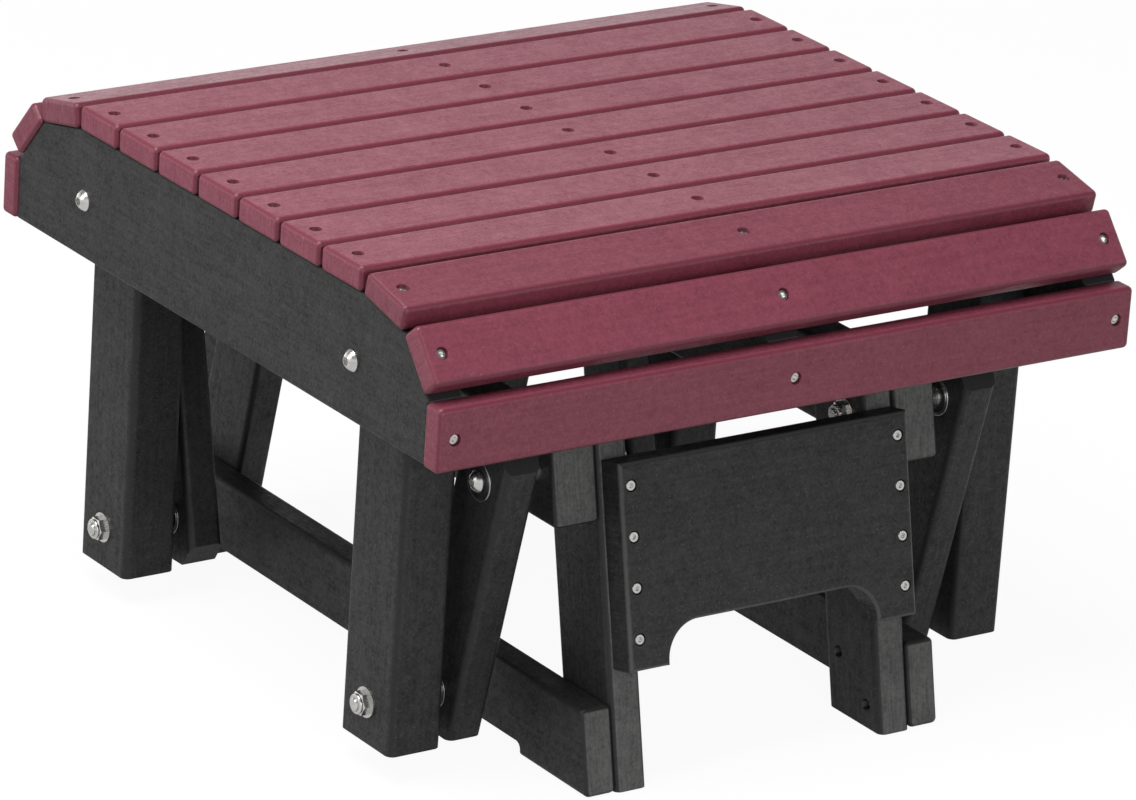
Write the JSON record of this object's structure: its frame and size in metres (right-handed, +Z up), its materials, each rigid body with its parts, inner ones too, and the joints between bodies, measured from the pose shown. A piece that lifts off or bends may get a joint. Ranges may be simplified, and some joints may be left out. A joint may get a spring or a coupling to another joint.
{
  "type": "glider ottoman",
  "caption": "Low footrest with an arched slatted top on hanging legs that glides back and forth on swing arms over a standing splayed base with arched end panels",
  "frame": {"origin": "on the floor under the middle of the seat", "axes": "+X to the right end of the slats seen from the front, +Y to the rear, +Z up"},
  "size_m": [0.6162, 0.6026, 0.3905],
  "materials": {
    "slat_plastic": "burgundy recycled-plastic lumber, through-coloured, fine mottled grain with a soft sheen",
    "frame_plastic": "black recycled-plastic lumber, through-coloured, fine speckled grain",
    "stainless_steel": "plain stainless steel",
    "bearing_steel": "ground bearing steel",
    "seal_rubber": "black rubber bearing seal",
    "nut_nylon": "pale nylon locking ring in the lock nuts"
  },
  "bodies": {
    "base": {"front_left_upright": "frame_plastic", "front_right_upright": "frame_plastic", "rear_left_upright": "frame_plastic", "rear_right_upright": "frame_plastic", "left_top_rail": "frame_plastic", "left_bottom_rail": "frame_plastic", "right_top_rail": "frame_plastic", "right_bottom_rail": "frame_plastic", "front_panel": "frame_plastic", "rear_panel": "frame_plastic", "panel_screws": "stainless_steel", "frame_screws": "stainless_steel", "upper_pivot_bolts": "stainless_steel", "upper_pivot_washers": "stainless_steel", "upper_pivot_nuts": "stainless_steel", "upper_pivot_spacers": "stainless_steel", "upper_inner_rings": "bearing_steel"},
    "seat": {"top_slat_1": "slat_plastic", "top_slat_2": "slat_plastic", "top_slat_3": "slat_plastic", "top_slat_4": "slat_plastic", "top_slat_5": "slat_plastic", "top_slat_6": "slat_plastic", "top_slat_7": "slat_plastic", "front_tilted_slat": "slat_plastic", "front_angled_slat": "slat_plastic", "front_edge_slat": "slat_plastic", "rear_tilted_slat": "slat_plastic", "rear_angled_slat": "slat_plastic", "rear_edge_slat": "slat_plastic", "left_side_board": "frame_plastic", "centre_board": "frame_plastic", "right_side_board": "frame_plastic", "front_left_leg": "frame_plastic", "front_right_leg": "frame_plastic", "rear_left_leg": "frame_plastic", "rear_right_leg": "frame_plastic", "slat_screws": "stainless_steel", "leg_screws": "stainless_steel", "leg_bolts": "stainless_steel", "leg_bolt_washers": "stainless_steel", "leg_bolt_nuts": "stainless_steel", "lower_pivot_bolts": "stainless_steel", "lower_pivot_washers": "stainless_steel", "lower_pivot_nuts": "stainless_steel", "lower_pivot_spacers": "stainless_steel", "lower_inner_rings": "bearing_steel"},
    "front_left_swing": {"front_left_arm": "frame_plastic", "front_left_bearings": "bearing_steel", "front_left_bearing_seals": "seal_rubber"},
    "front_right_swing": {"front_right_arm": "frame_plastic", "front_right_bearings": "bearing_steel", "front_right_bearing_seals": "seal_rubber"},
    "rear_left_swing": {"rear_left_arm": "frame_plastic", "rear_left_bearings": "bearing_steel", "rear_left_bearing_seals": "seal_rubber"},
    "rear_right_swing": {"rear_right_arm": "frame_plastic", "rear_right_bearings": "bearing_steel", "rear_right_bearing_seals": "seal_rubber"}
  },
  "joints": [
    {"name": "front_left_arm_pivot", "type": "hinge", "parent": "base", "child": "front_left_swing", "pos_m": [-0.2024, -0.2256, 0.2284], "axis": [1, 0, 0], "range_deg": [-14, 14]},
    {"name": "front_right_arm_pivot", "type": "hinge", "parent": "base", "child": "front_right_swing", "pos_m": [0.2024, -0.2256, 0.2284], "axis": [1, 0, 0], "range_deg": [-14, 14]},
    {"name": "rear_left_arm_pivot", "type": "hinge", "parent": "base", "child": "rear_left_swing", "pos_m": [-0.2024, 0.2256, 0.2284], "axis": [1, 0, 0], "range_deg": [-14, 14]},
    {"name": "rear_right_arm_pivot", "type": "hinge", "parent": "base", "child": "rear_right_swing", "pos_m": [0.2024, 0.2256, 0.2284], "axis": [1, 0, 0], "range_deg": [-14, 14]},
    {"name": "seat_pivot", "type": "hinge", "parent": "front_left_swing", "child": "seat", "pos_m": [-0.2024, -0.1845, 0.0532], "axis": [1, 0, 0], "range_deg": [-17.2, 17.2]}
  ],
  "couplings": [
    {"joint": "front_right_arm_pivot", "follows": "front_left_arm_pivot", "ratio": 1},
    {"joint": "rear_left_arm_pivot", "follows": "front_left_arm_pivot", "ratio": 1},
    {"joint": "rear_right_arm_pivot", "follows": "front_left_arm_pivot", "ratio": 1},
    {"joint": "seat_pivot", "follows": "front_left_arm_pivot", "ratio": -1.2228}
  ]
}
